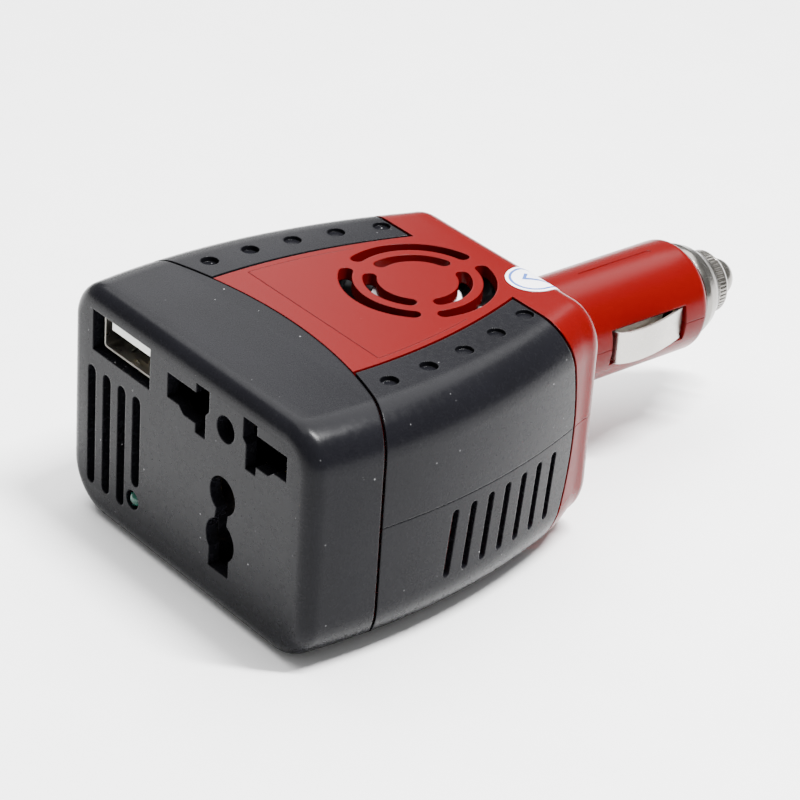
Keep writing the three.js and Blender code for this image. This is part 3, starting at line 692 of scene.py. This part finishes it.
# Each look: base colour, roughness, and what differs from the plain surface.
LOOKS = {
    "black_case": (
        (0.0048, 0.0048, 0.0062),
        0.26,
        dict(grain=0.15, grain_scale=4200.0, edge=0.3, dust=0.5, specular=0.075),
    ),
    "red_case": (
        (0.092, 0.0002, 0.0002),
        0.26,
        dict(grain=0.02, grain_scale=350.0, edge=0.3, dust=0.02, vary=0.02, specular=0.10, uneven=0.05),
    ),
    # The nose's nickel painted at half the brightness of the nickel look below: painted shade standing in
    # for the dark surroundings the nose reflects.
    "nickel_painted_shade": (
        (0.20, 0.19, 0.175),
        0.24,
        dict(metallic=1.0, grain=0.25, grain_scale=1500.0, edge=0.15),
    ),
    "nickel": (
        (0.40, 0.385, 0.36),
        0.30,
        dict(metallic=1.0, grain=0.22, grain_scale=1500.0, edge=0.15, brushed=True),
    ),
    "usb_metal": ((0.22, 0.21, 0.19), 0.32, dict(metallic=1.0, grain=0.2, edge=0.1, brushed=True)),
    "brass": ((0.60, 0.44, 0.18), 0.28, dict(metallic=1.0, grain=0.2, edge=0.08, brushed=True)),
    "white_plastic": ((0.80, 0.80, 0.77), 0.45, dict(grain=0.15, edge=0.1)),
    "circuit_board": (
        (0.015, 0.11, 0.035),
        0.35,
        dict(grain=0.3, grain_scale=900.0, edge=0.1, vary=0.35),
    ),
    "lamp": ((0.006, 0.05, 0.034), 0.10, dict(grain=0.03, specular=0.3)),
    "ferrite": ((0.035, 0.034, 0.036), 0.75, dict(grain=0.8, grain_scale=1500.0, edge=0.2)),
    "winding": (
        (0.45, 0.16, 0.05),
        0.30,
        dict(metallic=0.8, grain=1.0, grain_scale=1200.0, edge=0.2, vary=0.3, brushed=True),
    ),
    "capacitor": ((0.03, 0.035, 0.09), 0.35, dict(grain=0.2, edge=0.3)),
    "semiconductor": ((0.018, 0.018, 0.018), 0.55, dict(grain=0.5, edge=0.15)),
    "heat_sink": ((0.62, 0.63, 0.64), 0.42, dict(metallic=1.0, grain=0.4, edge=0.1, brushed=True)),
    "fan_plastic": ((0.02, 0.02, 0.021), 0.45, dict(grain=0.3, edge=0.2)),
    "label": ((0.80, 0.80, 0.84), 0.55, dict(grain=0.2, grain_scale=1400.0, vary=0.05)),
    "glass": ((0.80, 0.85, 0.85), 0.08, dict(grain=0.03, transmission=0.9)),
    "spring_steel": ((0.45, 0.45, 0.45), 0.3, dict(metallic=1.0, grain=0.2)),
    "red_lead": ((0.40, 0.01, 0.01), 0.5, dict(grain=0.2)),
    "black_lead": ((0.02, 0.02, 0.02), 0.5, dict(grain=0.2)),
    "sleeve": ((0.70, 0.66, 0.55), 0.5, dict(grain=0.3)),
}
MATERIALS = {}
for name, (colour, roughness, extra) in LOOKS.items():
    MATERIALS[name] = surface(name, colour, roughness, **extra)
INK = surface("ink", (0.02, 0.08, 0.32), 0.5, grain=0.2, vary=0.2)


def paint(made, material):
    made.data.materials.clear()
    made.data.materials.append(material)
    for face in made.data.polygons:
        face.material_index = 0


def piece(made, name, slot, body="case", replaces=(), material=None, angle=32):
    """Names, smooths, paints and attaches one visual piece."""
    made.name = name
    made.data.name = name
    smooth(made, angle)
    paint(made, material or MATERIALS[slot])
    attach(made, body)
    if replaces:
        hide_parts(*replaces)
    return made


# ---------- build ----------
upper, lower = shells()
piece(upper, "skin_upper_shell", "red_case", replaces=["upper_shell"])
piece(lower, "skin_lower_shell", "red_case", replaces=["lower_shell"])
for node, made in grips().items():
    piece(made, f"skin_{node}", "black_case", replaces=[node])
piece(socket_cap(), "skin_socket_cap", "black_case", replaces=["socket_cap"])
piece(usb_shell(), "skin_usb_shell", "nickel", replaces=["usb_shell"], material=MATERIALS["usb_metal"])
piece(lamp(), "skin_lamp", "lamp", replaces=["indicator_lamp"], angle=60)
piece(side_contact(1), "skin_contact_right", "nickel", "clip_right", ["side_contact_right"])
piece(side_contact(-1), "skin_contact_left", "nickel", "clip_left", ["side_contact_left"])
# The retaining cap and centre pin take the darker nickel, whose colour carries painted shade for their
# dark reflections.
piece(retaining_cap(), "skin_retaining_cap", "nickel", "cap", ["retaining_cap"], MATERIALS["nickel_painted_shade"])
piece(centre_pin(), "skin_centre_pin", "nickel", "pin", ["centre_pin"], MATERIALS["nickel_painted_shade"], 40)

backing = sticker_part(disc(*STICKER, 4.6, 64), 0.02, 0.14)
piece(backing, "skin_sticker", "label", replaces=["inspection_sticker"])
ring = boolean(
    sticker_part(disc(*STICKER, 4.05, 64), 0.13, 0.16),
    prism("middle", disc(*STICKER, 3.6, 64), HEIGHT - 7, HEIGHT + 2),
)
piece(ring, "sticker_ring", "label", material=INK)
tick = [(-2.1, 0.2), (-0.7, -1.5), (2.2, 1.9), (1.75, 2.3), (-0.72, -0.6), (-1.65, 0.6)]
tick = [(STICKER[0] + u, STICKER[1] - 0.3 + v) for u, v in tick]
piece(sticker_part(tick, 0.13, 0.16), "sticker_tick", "label", material=INK)

slots = {entry["node"]: entry["material_slot"] for entry in frame["record"]["subparts"]}
for node, made in frame["nodes"].items():
    smooth(made, 35)
    paint(made, MATERIALS[slots[node]])


# ---------- camera ----------
CAMERA_AZIMUTH = math.radians(49.179)
CAMERA_ELEVATION = math.radians(29.644)
CAMERA_ROLL = math.radians(4.0)
CAMERA_DISTANCE = 0.467585
CAMERA_SHIFT = (-0.031165, 0.029946)
CAMERA_LENS = 140.34
RAW_HEIGHT = 0.068534


def add_camera():
    """A long lens in front of and above the right edge of the socket face, rolled a little."""
    sa, ca = math.sin(CAMERA_AZIMUTH), math.cos(CAMERA_AZIMUTH)
    se, ce = math.sin(CAMERA_ELEVATION), math.cos(CAMERA_ELEVATION)
    back = Vector((sa * ce, -ca * ce, se))
    right = Vector((0, 0, 1)).cross(back).normalized()
    up = back.cross(right)
    cr, sr = math.cos(CAMERA_ROLL), math.sin(CAMERA_ROLL)
    right, up = cr * right + sr * up, cr * up - sr * right
    place = back * CAMERA_DISTANCE - right * CAMERA_SHIFT[0] - up * CAMERA_SHIFT[1]
    place += Vector((0, -TOTAL_L / 2 * MM, RAW_HEIGHT))
    data = bpy.data.cameras.new("camera")
    data.lens = CAMERA_LENS
    data.sensor_width = 36
    data.clip_start = 0.01
    data.clip_end = 50
    camera = bpy.data.objects.new("camera", data)
    camera.matrix_world = Matrix(
        (
            (right.x, up.x, back.x, place.x),
            (right.y, up.y, back.y, place.y),
            (right.z, up.z, back.z, place.z),
            (0, 0, 0, 1),
        )
    )
    bpy.context.scene.collection.objects.link(camera)
    bpy.context.scene.camera = camera


add_camera()


# ---------- studio ----------
def area_light(name, place, target, size, power):
    data = bpy.data.lights.new(name, "AREA")
    data.shape = "RECTANGLE"
    data.size, data.size_y = size
    data.energy = power
    light = bpy.data.objects.new(name, data)
    light.location = place
    light.rotation_euler = (Vector(target) - Vector(place)).to_track_quat("-Z", "Y").to_euler()
    bpy.context.scene.collection.objects.link(light)


world = bpy.data.worlds.new("studio")
bpy.context.scene.world = world
world.use_nodes = True
world.node_tree.nodes["Background"].inputs["Color"].default_value = (1, 1, 1, 1)
world.node_tree.nodes["Background"].inputs["Strength"].default_value = 0.5
area_light("ceiling", (-0.3, 0.2, 1.1), (0, 0, 0), (1.4, 1.4), 42.0)
area_light("strip", (0.16, 0.08, 0.58), (0.01, -0.04, 0.03), (0.03, 0.22), 12.0)
area_light("back_left", (-0.85, 0.42, 0.42), (0, 0, 0.03), (0.4, 0.6), 1.8)

floor = prism("floor", disc(0, TOTAL_L / 2, 4000, 96), -2, -0.02)
paint(floor, surface("floor", (0.93, 0.93, 0.93), 0.9, vary=0.01, grain=0.02, grain_scale=300.0))
